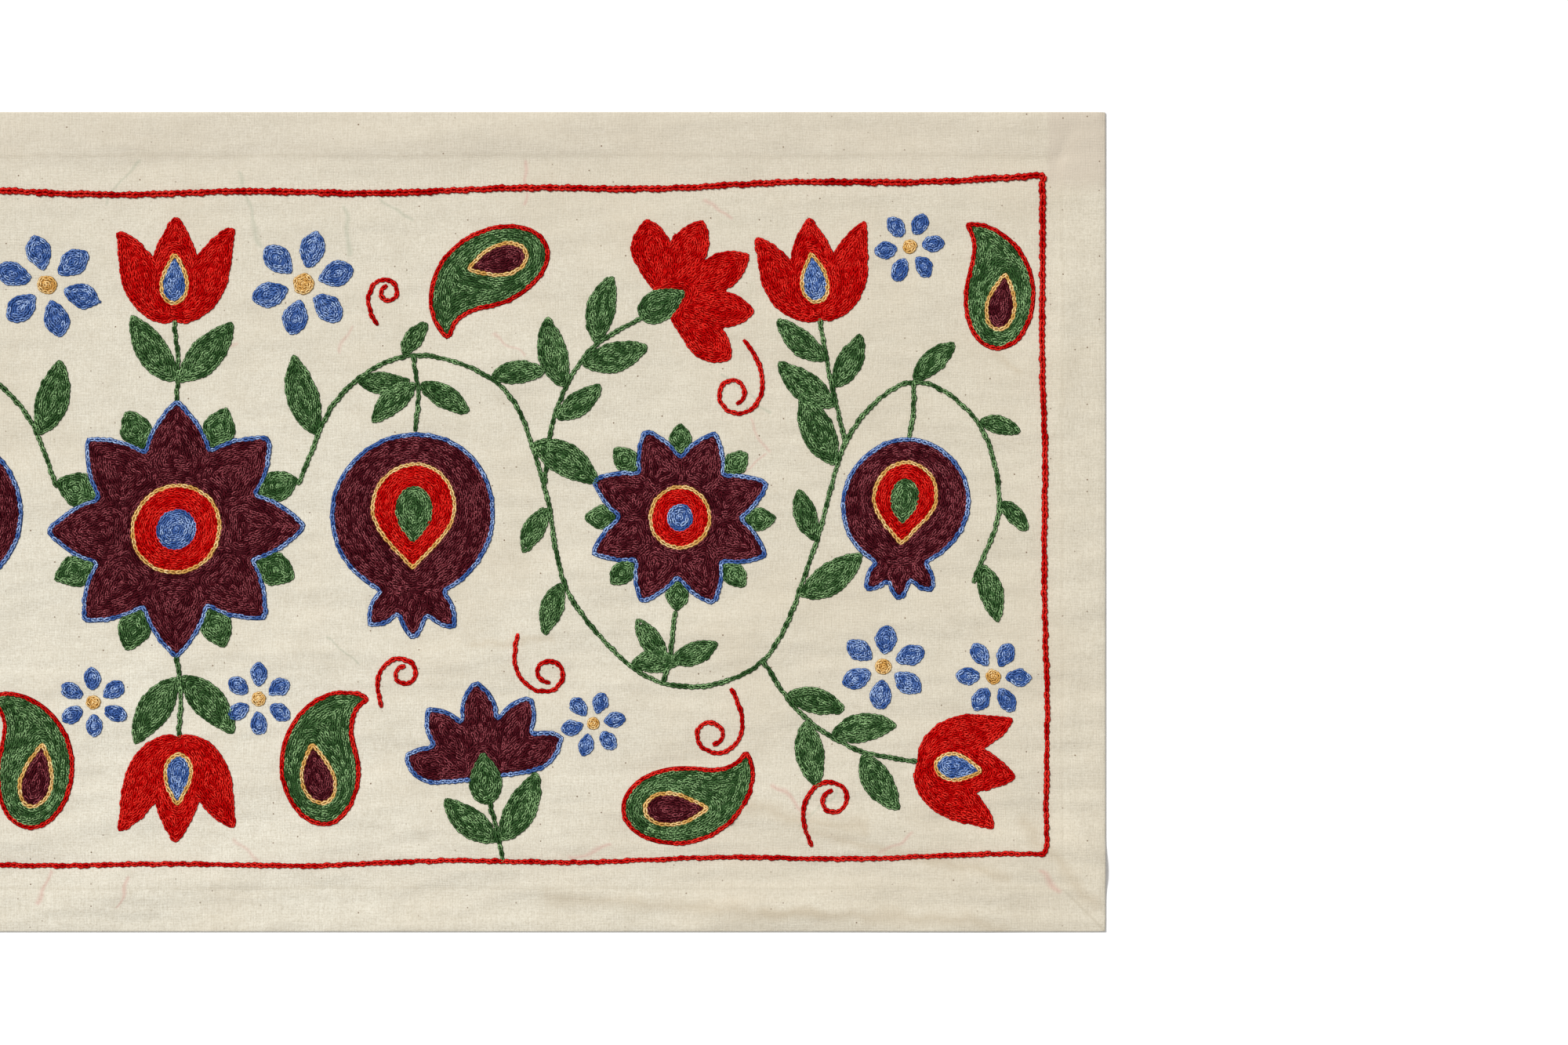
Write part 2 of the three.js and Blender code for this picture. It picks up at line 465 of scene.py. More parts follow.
def cotton_material():
    """Undyed calico: matt, slightly mottled, with slubs, a few specks of husk, soil, a duller far side,
    painted light that makes it paler towards the middle of its near side, and brown painted shade along its
    creases and folds.
    """
    material, w, cotton = new_material("undyed_cotton")
    place = w.add("ShaderNodeTexCoord").outputs["Object"]
    weave = w.add("ShaderNodeGroup", {"node_tree": plain_weave()}, Place=place)
    slubs = w.ramp(weave.outputs["Slubs"], 0.36, 0.66)
    # Painted light: the cotton is painted paler towards the middle of its near side.
    painted_light = w.ramp(w.vector("DISTANCE", place, PAINTED_LIGHT_CENTRE), PAINTED_LIGHT_REACH, 0.0)
    colour = w.tone(w.blend(painted_light, COTTON, COTTON_PAINTED_LIGHT), slubs, 0.4, COTTON_SHADE)
    grain = w.noise(place, 900.0, Detail=3.0, Roughness=0.7)
    colour = w.tone(colour, w.ramp(grain, 0.45, 0.75), 0.7, COTTON_SHADE)
    cloudy = w.noise(place, 9.0, Detail=5.0, Roughness=0.65)
    colour = w.tone(colour, w.ramp(cloudy, 0.46, 0.72), 0.4, COTTON_WARM)
    blotchy = w.noise(place, 46.0, Detail=4.0, Roughness=0.7)
    colour = w.tone(colour, w.ramp(blotchy, 0.45, 0.8), 0.3, COTTON_SHADE)
    hem = w.add("ShaderNodeGroup", {"node_tree": hem_lines()}, Place=place)
    colour = w.tone(colour, hem.outputs["Edge"], 0.4, COTTON_SHADE)
    colour = w.tone(colour, hem.outputs["Far side"], 0.7, COTTON_DULL)
    line = soft_line()
    bend = w.add("ShaderNodeTexNoise", Vector=place, Scale=55.0, Detail=1.0).outputs["Color"]
    aside = w.vector("MULTIPLY_ADD", bend, (MARK_WAVER, MARK_WAVER, 0), place)
    # Each mark turns the colour along its line: thread tails, soil, and brown painted shade along the creases
    # and folds.
    for mark_colour, rows in MARKS:
        for from_x, from_y, run_x, run_y, half_width, strength in rows:
            seen = w.add("ShaderNodeGroup", {"node_tree": line}, Place=aside, Half_width=half_width * MM)
            w.set(seen, "From", (from_x * MM, from_y * MM, FIELD_TOP * MM))
            w.set(seen, "Run", (run_x * MM, run_y * MM, 0))
            colour = w.tone(colour, seen.outputs["Mask"], strength, mark_colour)
    specks = w.add("ShaderNodeTexVoronoi", {"voronoi_dimensions": "2D"}, Vector=place, Scale=150.0)
    chosen = w.add("ShaderNodeSeparateColor", Color=specks.outputs["Color"])
    rare = w.ramp(chosen.outputs["Red"], 0.9, 1.0)
    colour = w.tone(colour, rare, w.math("LESS_THAN", specks.outputs["Distance"], 0.065), HUSK)
    w.set(cotton, "Base Color", colour)
    w.set(cotton, "Roughness", 0.92)
    w.set(cotton, "Specular IOR Level", 0.2)
    w.set(cotton, "Sheen Weight", 0.15)
    w.set(cotton, "Sheen Roughness", 0.6)
    drawn = w.add("ShaderNodeMapping", Vector=place, Rotation=(0, 0, math.radians(9)), Scale=(0.3, 1, 1))
    rumpled = w.noise(drawn.outputs[0], 38.0, Detail=2.0, Roughness=0.45)
    near_side = w.ramp(w.add("ShaderNodeSeparateXYZ", Vector=place).outputs["Y"], 0.1, -0.2)
    crumpled = w.math("MULTIPLY_ADD", near_side, 0.6, 0.6)
    wave = w.math("MULTIPLY", w.math("SUBTRACT", rumpled, 0.5), crumpled)
    rumples = w.add("ShaderNodeBump", Height=wave, Strength=1.0, Distance=0.005)
    relief = w.math("ADD", w.math("MULTIPLY", weave.outputs["Height"], 0.5), w.math("MULTIPLY", slubs, 0.6))
    bump = w.add("ShaderNodeBump", Height=relief, Strength=0.6, Distance=0.0003, Normal=rumples.outputs[0])
    w.set(cotton, "Normal", bump.outputs[0])
    return material


cloth = put("ground_cloth", cloth_mesh())
cloth.data.materials.append(cotton_material())
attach(cloth, "root")
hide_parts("cloth")


# Every line and filled shape on the cloth is chain stitch, hooked by hand from soft two-ply yarn: each
# loop starts inside the head of the one before it. Rows follow a shape's edge and work inwards.
STITCH_WIDTH = 2.6
LINE_WIDTH = 2.9
EDGE_WIDTH = 2.8
ROW_PITCH = 2.35
STITCH_LENGTH = 3.3
STRAND_HALF_WIDTH = 0.704
STRAND_HALF_HEIGHT = 0.42
# One leg of the loop, from where it comes up inside the loop before it to one side of its head.
LEG = [(-0.4, 0.2, 0.14), (1.9, 0.7, 0.62), (3.75, 0.34, 0.4)]
# The yarn's fuzz hides the cloth: a low ribbon of it under each line, and a low skin of it under each fill.
# Their colour is partly the yarn's own and partly painted shade, dark between the stitches.
SHADED_FUZZ_WIDTH = 2.6
SHADED_FUZZ_HEIGHT = 0.24
LINE_RIBBON = 0.7
EDGE_RIBBON = 1.0
SKIN_HEIGHT = 0.26


def loop_of_yarn():
    """The mesh of one stitch: a loop of three-sided strand."""
    line = np.array(LEG + [(x, -y, z) for x, y, z in LEG[::-1]])
    along = np.gradient(line, axis=0)
    along /= np.linalg.norm(along, axis=1)[:, None]
    aside = np.column_stack([-along[:, 1], along[:, 0], np.zeros(len(line))])
    aside /= np.linalg.norm(aside, axis=1)[:, None]
    upward = np.cross(along, aside)
    points = []
    for turn in (90, 210, 330):
        side, rise = math.cos(math.radians(turn)), math.sin(math.radians(turn))
        points.append(line + aside * side * STRAND_HALF_WIDTH + upward * rise * STRAND_HALF_HEIGHT)
    points = np.stack(points, axis=1).reshape(-1, 3)
    faces = []
    uvs = []
    run = np.concatenate([[0], np.cumsum(np.linalg.norm(np.diff(line, axis=0), axis=1))])
    for i, (near, far) in enumerate(zip(run, run[1:])):
        for k in range(3):
            after = (k + 1) % 3
            faces.append((3 * i + k, 3 * i + 3 + k, 3 * i + 3 + after, 3 * i + after))
            uvs += [(near, k / 3), (far, k / 3), (far, (k + 1) / 3), (near, (k + 1) / 3)]
    last = 3 * len(line) - 3
    faces += [(0, 1, 2), (last, last + 2, last + 1)]
    uvs += [(0, 0)] * 6
    mesh = smooth_mesh("loop_of_yarn", points * MM, [], faces)
    layer = mesh.uv_layers.new(name="along_yarn")
    layer.data.foreach_set("uv", np.array(uvs, float).ravel())
    return mesh


loop = put("loop_of_yarn", loop_of_yarn())


def chain_stitch_tree():
    """Geometry nodes that turn rows of points into rows of overlapping loops."""
    inputs = {
        "Rows": "Geometry", "Loop": "Object", "Stitch length": "Float", "Unevenness": "Float",
        "Seed": "Int", "Yarn": "Material",
    }
    w, given, end = node_group("GeometryNodeTree", "Chain stitch", inputs, {"Stitches": "Geometry"})

    def stored(name):
        node = w.add("GeometryNodeInputNamedAttribute", {"data_type": "FLOAT"}, Name=name)
        return node.outputs["Attribute"]

    def random(number, low=0.0, high=1.0):
        seed = w.math("ADD", given["Seed"], number)
        node = w.add("FunctionNodeRandomValue", {"data_type": "FLOAT"}, Min=low, Max=high, Seed=seed)
        return node.outputs["Value"]

    length = given["Stitch length"]
    width = stored("row_width")
    is_row = w.math("GREATER_THAN", width, 0.01)
    parts = w.add("GeometryNodeSeparateGeometry", Geometry=given["Rows"], Selection=is_row)
    rows = w.add("GeometryNodeMeshToCurve", Mesh=parts.outputs["Selection"])
    even = w.add("GeometryNodeResampleCurve", {"mode": "LENGTH"}, Curve=rows.outputs[0], Length=length)
    here = w.add("GeometryNodeInputPosition").outputs[0]
    number = w.add("GeometryNodeInputIndex").outputs[0]
    following = w.add("GeometryNodeOffsetPointInCurve", Point_Index=number, Offset=1)
    there = w.add(
        "GeometryNodeFieldAtIndex", {"data_type": "FLOAT_VECTOR", "domain": "POINT"},
        Value=here, Index=following.outputs["Point Index"],
    )
    kept = w.add("GeometryNodeCaptureAttribute", {"domain": "POINT"}, Geometry=even.outputs[0])
    kept.capture_items.new("VECTOR", "Stride")
    kept.capture_items.new("BOOLEAN", "Goes on")
    w.set(kept, "Stride", w.vector("SUBTRACT", there.outputs[0], here))
    w.set(kept, "Goes on", following.outputs["Is Valid Offset"])
    stride = kept.outputs["Stride"]
    points = w.add("GeometryNodeCurveToPoints", {"mode": "EVALUATED"}, Curve=kept.outputs["Geometry"])
    spacing = w.math("DIVIDE", w.vector("LENGTH", stride), length)
    facing = w.add("FunctionNodeAxesToRotation", {"primary_axis": "Z", "secondary_axis": "X"})
    w.set(facing, "Primary Axis", (0, 0, 1))
    w.set(facing, "Secondary Axis", stride)
    sway = w.math("MULTIPLY", random(0, -0.5, 0.5), given["Unevenness"])
    turned = w.add("FunctionNodeRotateRotation", {"rotation_space": "LOCAL"}, Rotation=facing.outputs[0])
    w.set(turned, "Rotate By", w.add("ShaderNodeCombineXYZ", Z=sway).outputs[0])
    uneven = w.math("MULTIPLY_ADD", random(1, -0.5, 0.5), given["Unevenness"], 1.0)
    broad = w.math("MULTIPLY", width, uneven)
    scale = w.add("ShaderNodeCombineXYZ", X=spacing, Y=broad, Z=broad)
    source = w.add("GeometryNodeObjectInfo", Object=given["Loop"])
    placed = w.add(
        "GeometryNodeInstanceOnPoints", Points=points.outputs["Points"], Instance=source.outputs["Geometry"],
        Rotation=turned.outputs[0], Scale=scale.outputs[0], Selection=kept.outputs["Goes on"],
    )
    dyed = w.add(
        "GeometryNodeStoreNamedAttribute", {"data_type": "FLOAT", "domain": "INSTANCE"},
        Geometry=placed.outputs[0], Name="tint", Value=random(2),
    )
    ribbon_width = stored("ribbon_width")
    bare = w.math("LESS_THAN", ribbon_width, 0.01)
    lines = w.add("GeometryNodeDeleteGeometry", Geometry=even.outputs[0], Selection=bare)
    upright = w.add("GeometryNodeSetCurveNormal", {"mode": "Z_UP"}, Curve=lines.outputs[0])
    # The ribbon's section is a triangle, SHADED_FUZZ_WIDTH broad and SHADED_FUZZ_HEIGHT high.
    ring = w.add("GeometryNodeCurvePrimitiveCircle", Resolution=3, Radius=SHADED_FUZZ_WIDTH / math.sqrt(3) * MM)
    flat = w.add(
        "GeometryNodeTransform", Geometry=ring.outputs[0], Translation=(0, SHADED_FUZZ_HEIGHT * 0.25 * MM, 0),
        Rotation=(0, 0, math.radians(90)), Scale=(SHADED_FUZZ_HEIGHT / (SHADED_FUZZ_WIDTH * math.sqrt(0.75)), 1, 1),
    )
    ribbon = w.add(
        "GeometryNodeCurveToMesh", Curve=upright.outputs[0], Profile_Curve=flat.outputs[0],
        Scale=ribbon_width, Fill_Caps=True,
    )
    shaded_fuzz = w.add("GeometryNodeJoinGeometry", Geometry=ribbon.outputs[0])
    w.set(shaded_fuzz, "Geometry", parts.outputs["Inverted"])
    # The ribbons and skins get tint -1, so the yarn's shader paints them dark with shade.
    deep = w.add(
        "GeometryNodeStoreNamedAttribute", {"data_type": "FLOAT", "domain": "POINT"},
        Geometry=shaded_fuzz.outputs[0], Name="tint", Value=-1.0,
    )
    both = w.add("GeometryNodeJoinGeometry", Geometry=deep.outputs[0])
    w.set(both, "Geometry", dyed.outputs[0])
    real = w.add("GeometryNodeRealizeInstances", Geometry=both.outputs[0])
    finished = w.add("GeometryNodeSetMaterial", Geometry=real.outputs[0], Material=given["Yarn"])
    w.set(end, "Stitches", finished.outputs[0])
    return w.tree


chain_stitch = chain_stitch_tree()


# Half turns of the plies in a millimetre of yarn.
TWIST = 1.5


def plied_yarn():
    """A shader group: the colour and the height of two-ply yarn along the stitches' own UV map. Its colour
    holds painted highlights on the strands' tops, and painted shade on their flanks, in the grooves between
    the plies, and on the ribbons and skins of fuzz.
    """
    inputs = {"Colour": "Color", "Light": "Color", "Deep": "Color"}
    outputs = {"Colour": "Color", "Height": "Float"}
    w, given, end = node_group("ShaderNodeTree", "Plied yarn", inputs, outputs)
    deep = given["Deep"]
    yarn_map = w.add("ShaderNodeUVMap", {"uv_map": "along_yarn"})
    split = w.add("ShaderNodeSeparateXYZ", Vector=yarn_map.outputs[0])
    along, around = split.outputs["X"], split.outputs["Y"]
    tint = w.add("ShaderNodeAttribute", {"attribute_name": "tint"}).outputs["Fac"]
    place = w.add("ShaderNodeTexCoord").outputs["Object"]
    plies = w.math("MULTIPLY_ADD", along, TWIST * math.pi, w.math("MULTIPLY", around, 2 * math.pi))
    ply = w.math("ABSOLUTE", w.math("SINE", plies))
    fibres = w.noise(place, 1900.0, Detail=0.0)
    crown = w.math("ABSOLUTE", w.math("MULTIPLY_ADD", around, 2.0, -1.0))
    # Painted highlight: the yarn's paler colour on each strand's top, in flecks, stronger on some stitches
    # than others.
    painted_highlight = w.math("MULTIPLY", w.ramp(crown, 0.45, 0.95), w.ramp(fibres, 0.38, 0.65))
    colour = w.tone(given["Colour"], w.ramp(tint, 0.5, 0.0), 0.35, deep)
    colour = w.tone(colour, painted_highlight, w.ramp(tint, 0.2, 0.75), given["Light"])
    # Painted shade in the grooves between the two plies.
    colour = w.tone(colour, w.ramp(ply, 0.5, 0.0), 0.4, deep)
    colour = w.tone(colour, w.ramp(fibres, 0.49, 0.36), 0.8, deep)
    # Painted shade on each strand's lower flanks, where it meets the next one.
    colour = w.tone(colour, w.ramp(crown, 0.66, 0.36), 0.75, deep)
    # Painted shade: the ribbons and skins of fuzz take a mix of the yarn's own colour and its deep colour.
    colour = w.blend(w.math("LESS_THAN", tint, -0.5), colour, w.blend(0.6, given["Colour"], deep))
    w.set(end, "Colour", colour)
    w.set(end, "Height", w.math("ADD", ply, w.math("MULTIPLY", fibres, 0.4)))
    return w.tree


yarn_look = plied_yarn()
# Each yarn's own colour, the paler one of its painted highlights, and the deep one of the painted shade
# between its strands, which also darkens some stitches and flecks at random.
YARNS = {
    "red": ((0.71, 0.002, 0.002), (0.95, 0.055, 0.035), (0.16, 0.0, 0.0)),
    "maroon": ((0.105, 0.008, 0.015), (0.44, 0.11, 0.13), (0.016, 0.002, 0.004)),
    "green": ((0.058, 0.145, 0.042), (0.43, 0.67, 0.31), (0.006, 0.022, 0.005)),
    "blue": ((0.085, 0.19, 0.5), (0.62, 0.78, 1.0), (0.01, 0.03, 0.15)),
    "yellow": ((0.86, 0.52, 0.15), (0.98, 0.84, 0.5), (0.4, 0.17, 0.03)),
}


def yarn_material(thread):
    material, w, yarn = new_material(thread + "_yarn")
    look = w.add("ShaderNodeGroup", {"node_tree": yarn_look})
    for socket, colour in zip(look.inputs, YARNS[thread]):
        socket.default_value = (*colour, 1)
    w.set(yarn, "Base Color", look.outputs["Colour"])
    w.set(yarn, "Roughness", 0.6)
    w.set(yarn, "Specular IOR Level", 0.03)
    bump = w.add("ShaderNodeBump", Height=look.outputs["Height"], Strength=0.4, Distance=0.00015)
    w.set(yarn, "Normal", bump.outputs[0])
    return material


yarn_materials = {thread: yarn_material(thread) for thread in YARNS}
rows_of = {}
skins_of = {}
sewn = []


def waver(points):
    """Where a point of the drawn design falls on the cloth: the drawing hand isn't quite steady."""
    x, y = points[:, 0], points[:, 1]
    across = 0.9 * np.sin(x / 31 + 0.6 * np.sin(y / 23)) + 0.5 * np.sin(y / 13 + x / 47)
    along = 0.9 * np.sin(y / 27 + 0.8 * np.sin(x / 37)) + 0.5 * np.sin(x / 17 - y / 53)
    return np.column_stack([x + along, y + across])


def lay_row(thread, points, edges, width=STITCH_WIDTH, ribbon=0.0):
    """Keeps a row for the next sewing: its points and the width of its stitches in millimetres, the edges
    between the points, and the breadth of its ribbon of fuzz, dark with painted shade, as a share of the
    full width of a ribbon's section."""
    if len(points):
        row = (np.array(points, float), np.array(edges, int), width / STITCH_WIDTH, ribbon)
        rows_of.setdefault(thread, []).append(row)


# A skin is drawn on every third line of the fill's grid, with its rim at SKIN_EDGE of the fill's depth, and
# points inside it from SKIN_CORE.
SKIN_STEP = 3
SKIN_EDGE = 0.3
SKIN_CORE = 1.5


def lay_skin(thread, depth, xs, ys, rim_height):
    """Keeps a skin of fuzz, dark with painted shade, for the next sewing. Its rim lies under an edge row, or
    is sunk in the cloth.
    """
    xs, ys, depth = xs[::SKIN_STEP], ys[::SKIN_STEP], depth[::SKIN_STEP, ::SKIN_STEP]
    rim, edges = level_rows(depth, xs, ys, SKIN_EDGE)
    if len(rim) < 4:
        return
    x, y = np.meshgrid(xs, ys)
    every_other = np.add.outer(np.arange(len(ys)), np.arange(len(xs))) % 2 == 0
    inner = (depth > SKIN_CORE) & every_other
    spots = [Vector(spot) for spot in [*rim, *zip(x[inner], y[inner])]]
    points, _, faces, *_ = delaunay_2d_cdt(spots, edges, [], 0, 0.01)
    points = np.array([tuple(point) for point in points])
    faces = np.array([face for face in faces if len(face) == 3])
    centre = points[faces].mean(axis=1)
    column = np.clip((centre[:, 0] - xs[0]) / (xs[1] - xs[0]), 0, len(xs) - 1.001)
    row = np.clip((centre[:, 1] - ys[0]) / (ys[1] - ys[0]), 0, len(ys) - 1.001)
    i, j = row.astype(int), column.astype(int)
    u, v = column - j, row - i
    low = depth[i, j] * (1 - u) + depth[i, j + 1] * u
    high = depth[i + 1, j] * (1 - u) + depth[i + 1, j + 1] * u
    faces = faces[low * (1 - v) + high * v > SKIN_EDGE]
    on_rim = np.arange(len(points)) < len(rim)
    skins_of.setdefault(thread, []).append((points, faces, np.where(on_rim, rim_height, SKIN_HEIGHT)))


def stitch_line(thread, side, path):
    """Lays one row along a path."""
    path = waver(np.array(path, float) * (side, 1))
    ends = np.arange(len(path) - 1)
    lay_row(thread, path, np.column_stack([ends, ends + 1]), LINE_WIDTH, LINE_RIBBON)


def depth_inside(outline, x, y):
    """How deep each point lies inside a closed outline, and less than 0 outside it."""
    a = outline
    b = np.roll(outline, -1, axis=0)
    nearest = np.full(x.shape, np.inf)
    inside = np.zeros(x.shape, bool)
    for (ax, ay), (bx, by) in zip(a, b):
        run = (bx - ax) ** 2 + (by - ay) ** 2
        share = np.clip(((x - ax) * (bx - ax) + (y - ay) * (by - ay)) / max(run, 1e-9), 0, 1)
        nearest = np.minimum(nearest, (x - ax - share * (bx - ax)) ** 2 + (y - ay - share * (by - ay)) ** 2)
        if ay != by:
            crosses = ((ay > y) != (by > y)) & (x < (bx - ax) * (y - ay) / (by - ay) + ax)
            inside ^= crosses
    return np.where(inside, 1, -1) * np.sqrt(nearest)


def distance_to(spots, x, y):
    """How far each point of a grid lies from the nearest of the spots."""
    nearest = np.full(x.shape, np.inf)
    for spot_x, spot_y in spots:
        nearest = np.minimum(nearest, (x - spot_x) ** 2 + (y - spot_y) ** 2)
    return np.sqrt(nearest)


def clear_of(gap, xs, ys):
    """How far each point of a grid lies outside the row that runs round inside a gap's edge."""
    x, y = np.meshgrid(xs, ys)
    depth = depth_inside(gap, x, y)
    row = level_rows(depth, xs, ys, EDGE_WIDTH / 2)[0]
    return np.where(depth > EDGE_WIDTH / 2, -1, 1) * distance_to(row, x, y) - EDGE_WIDTH / 2


def level_rows(depth, xs, ys, level):
    """The points and edges of the lines on which depth equals level, on a grid."""
    over = depth > level
    rows, columns = depth.shape
    points = []
    ends = {}
    for step_i, step_j in ((0, 1), (1, 0)):
        low = depth[: rows - step_i, : columns - step_j]
        high = depth[step_i:, step_j:]
        ii, jj = np.nonzero(over[: rows - step_i, : columns - step_j] != over[step_i:, step_j:])
        share = (level - low[ii, jj]) / (high[ii, jj] - low[ii, jj])
        px = xs[jj] + share * step_j * (xs[1] - xs[0])
        py = ys[ii] + share * step_i * (ys[1] - ys[0])
        for i, j, x, y in zip(ii.tolist(), jj.tolist(), px.tolist(), py.tolist()):
            n = len(points)
            points.append((x, y))
            for cell in ((i, j), (i - step_j, j - step_i)):
                ends.setdefault(cell, []).append(n)
    edges = []
    for hits in ends.values():
        edges += [(hits[k], hits[k + 1]) for k in range(0, len(hits) - 1, 2)]
    return points, edges


DETAIL = 0.8
GRID_MARGIN = 2
# How far the filling rows run under an edge row, and how much farther their skin of fuzz with painted shade
# runs.
OVERLAP = 0.4
SKIN_OVERLAP = 1.2
# How high over the cloth's top a skin's rim lies.
RIM_UNDER_EDGE = 0.12
RIM_IN_CLOTH = -0.1
# An edge row is left out where it lies deeper than this in a gap.
HIDDEN_IN_GAP = 0.6
# One more row is laid where over this share of it has room.
LEAST_ROW = 0.25
# Single stitches fill each space between rows that is over OPEN_SPACE wide. They lie along the ridges of
# depth, where it slopes less than RIDGE_SLOPE, each this share of its length from the next.
OPEN_SPACE = 1.35
RIDGE_SLOPE = 0.75
SINGLE_SPACING = 0.85


def stitch_fill(thread, side, shapes, gaps=(), edge=None):
    """Fills the shapes, less the gaps, with rows that follow their edge. side is -1 for the mirrored half of
    the design, and edge is the outline's thread."""
    shapes = [waver(shape * (side, 1)) for shape in shapes]
    gaps = [waver(gap * (side, 1)) for gap in gaps]
    corner = np.vstack(shapes)
    xs = np.arange(corner[:, 0].min() - GRID_MARGIN, corner[:, 0].max() + GRID_MARGIN, DETAIL)
    ys = np.arange(corner[:, 1].min() - GRID_MARGIN, corner[:, 1].max() + GRID_MARGIN, DETAIL)
    x, y = np.meshgrid(xs, ys)
    depth = np.max([depth_inside(shape, x, y) for shape in shapes], axis=0)
    clear = np.full(x.shape, np.inf)
    for gap in gaps:
        clear = np.minimum(clear, clear_of(gap, xs, ys))
    skin = depth
    rim = RIM_IN_CLOTH
    if edge:
        whole = np.where(depth > 0, 1, -1) * distance_to(level_rows(depth, xs, ys, 0)[0], x, y)
        points, ends = level_rows(whole, xs, ys, EDGE_WIDTH / 2)
        column, row = np.rint((np.array(points) - (xs[0], ys[0])) / DETAIL).astype(int).T
        seen = clear[row, column] > -HIDDEN_IN_GAP
        lay_row(edge, points, [pair for pair in ends if seen[list(pair)].all()], EDGE_WIDTH, EDGE_RIBBON)
        depth = np.minimum(depth, whole - EDGE_WIDTH + OVERLAP)
        skin = depth + SKIN_OVERLAP
        rim = RIM_UNDER_EDGE
    lay_skin(thread, np.minimum(skin, clear + OVERLAP + SKIN_OVERLAP), xs, ys, rim)
    depth = np.minimum(depth, clear + OVERLAP)
    deepest = depth.max()
    count = max(1, math.ceil(deepest / ROW_PITCH - LEAST_ROW))
    pitch = deepest / count
    laid = []
    for k in range(count):
        points, edges = level_rows(depth, xs, ys, (k + 0.5) * pitch)
        lay_row(thread, points, edges)
        laid += points
    close_spaces(thread, depth, x, y, np.array(laid), pitch)


def close_spaces(thread, depth, x, y, laid, pitch):
    """Puts single stitches where the rows have left too wide a space."""
    slope = np.hypot(*np.gradient(depth, DETAIL))
    ridge = (slope < RIDGE_SLOPE) & (depth > pitch / 2)
    spots = np.column_stack([x[ridge], y[ridge]])
    if not len(spots) or not len(laid):
        return
    away = np.min(np.linalg.norm(spots[:, None] - laid[None, ::2], axis=2), axis=1)
    open_spots = away > OPEN_SPACE
    while open_spots.any():
        spot = spots[np.argmax(np.where(open_spots, away, 0))]
        reach = np.linalg.norm(spots - spot, axis=1)
        near = spots[reach < STITCH_LENGTH] - spot
        ahead = np.linalg.eigh(near.T @ near)[1][:, 1] * STITCH_LENGTH / 2
        lay_row(thread, [spot - ahead, spot + ahead], [(0, 1)])
        open_spots &= reach > STITCH_LENGTH * SINGLE_SPACING


# How much the stitches turn and vary in breadth.
UNEVENNESS = 0.3


def sew(group):
    """Makes a piece of each thread whose rows were laid since the last sewing."""
    for thread, rows in rows_of.items():
        skins = skins_of.get(thread, [])
        counts = [len(part[0]) for part in rows + skins]
        first = np.cumsum([0] + counts)
        points = np.vstack([part[0] for part in rows + skins])
        edges = np.vstack([row[1] + start for row, start in zip(rows, first)])
        faces = [face for skin, start in zip(skins, first[len(rows):]) for face in (skin[1] + start).tolist()]
        above = np.concatenate([np.zeros(sum(counts[:len(rows)])), *[skin[2] for skin in skins]])
        height = top_height(points[:, 0], points[:, 1]) + above
        name = f"{group}_{thread}"
        mesh = smooth_mesh(name, np.column_stack([points, height]) * MM, edges.tolist(), faces)
        for attribute, column in (("row_width", 2), ("ribbon_width", 3)):
            widths = [np.broadcast_to(row[column], len(row[0])) for row in rows]
            widths = np.concatenate(widths + [np.zeros(sum(counts[len(rows):]))])
            mesh.attributes.new(attribute, "FLOAT", "POINT").data.foreach_set("value", widths)
        piece = put(name, mesh)
        modifier = piece.modifiers.new("chain_stitch", "NODES")
        modifier.node_group = chain_stitch
        values = {
            "Loop": loop,
            "Stitch length": STITCH_LENGTH * MM,
            "Unevenness": UNEVENNESS,
            "Seed": 10 * len(sewn) + 3,
            "Yarn": yarn_materials[thread],
        }
        for socket in chain_stitch.interface.items_tree:
            if socket.name in values:
                modifier[socket.identifier] = values[socket.name]
        stitched = bpy.data.meshes.new_from_object(piece.evaluated_get(bpy.context.evaluated_depsgraph_get()))
        piece.modifiers.remove(modifier)
        piece.data = stitched
        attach(piece, "root")
        sewn.append(piece)
    rows_of.clear()
    skins_of.clear()


# The frame line is one row of thick red chain stitch round the field. It is drawn by hand, so it rises
# towards both ends of the cloth, leans at the ends, and wavers. Its stitches are broader at the far side.
FRAME_END_X = 476.5
FRAME_END_LEAN = 0.009
FRAME_FAR_Y = 180.3
FRAME_FAR_RISE = 9
FRAME_NEAR_Y = -188.8
FRAME_NEAR_RISE = 6
FRAME_WAVER = 0.9
FRAME_WAVER_LENGTH = 150
FRAME_WAVER_SHIFT = 40
CORD_WIDTH = 3.55
FAR_SIDE_BROADER = 0.12
FRAME_RIBBON = 0.8


def frame_line():
    """The closed line's points, starting at the near left corner."""
    along = np.linspace(-FRAME_END_X, FRAME_END_X, 240)
    share = np.abs(along) / FRAME_END_X
    wave = 2 * math.pi / FRAME_WAVER_LENGTH
    near = FRAME_NEAR_Y + FRAME_NEAR_RISE * share + FRAME_WAVER * np.sin(wave * (along + FRAME_WAVER_SHIFT))
    far = FRAME_FAR_Y + FRAME_FAR_RISE * share**1.6 + FRAME_WAVER * np.sin(wave * along)
    up = np.linspace(near[-1], far[-1], 90)[1:-1]
    end = FRAME_END_X - FRAME_END_LEAN * up + 0.5 * np.sin(up / 21)
    sides = [
        np.column_stack([along, near]),
        np.column_stack([end, up]),
        np.column_stack([along, far])[::-1],
        np.column_stack([-end, up])[::-1],
    ]
    return np.vstack(sides)


line = frame_line()
order = np.arange(len(line))
breadth = CORD_WIDTH * (1 + FAR_SIDE_BROADER * line[:, 1] / FRAME_FAR_Y)
lay_row("red", line, np.column_stack([order, np.roll(order, -1)]), breadth, FRAME_RIBBON)
sew("frame_line")


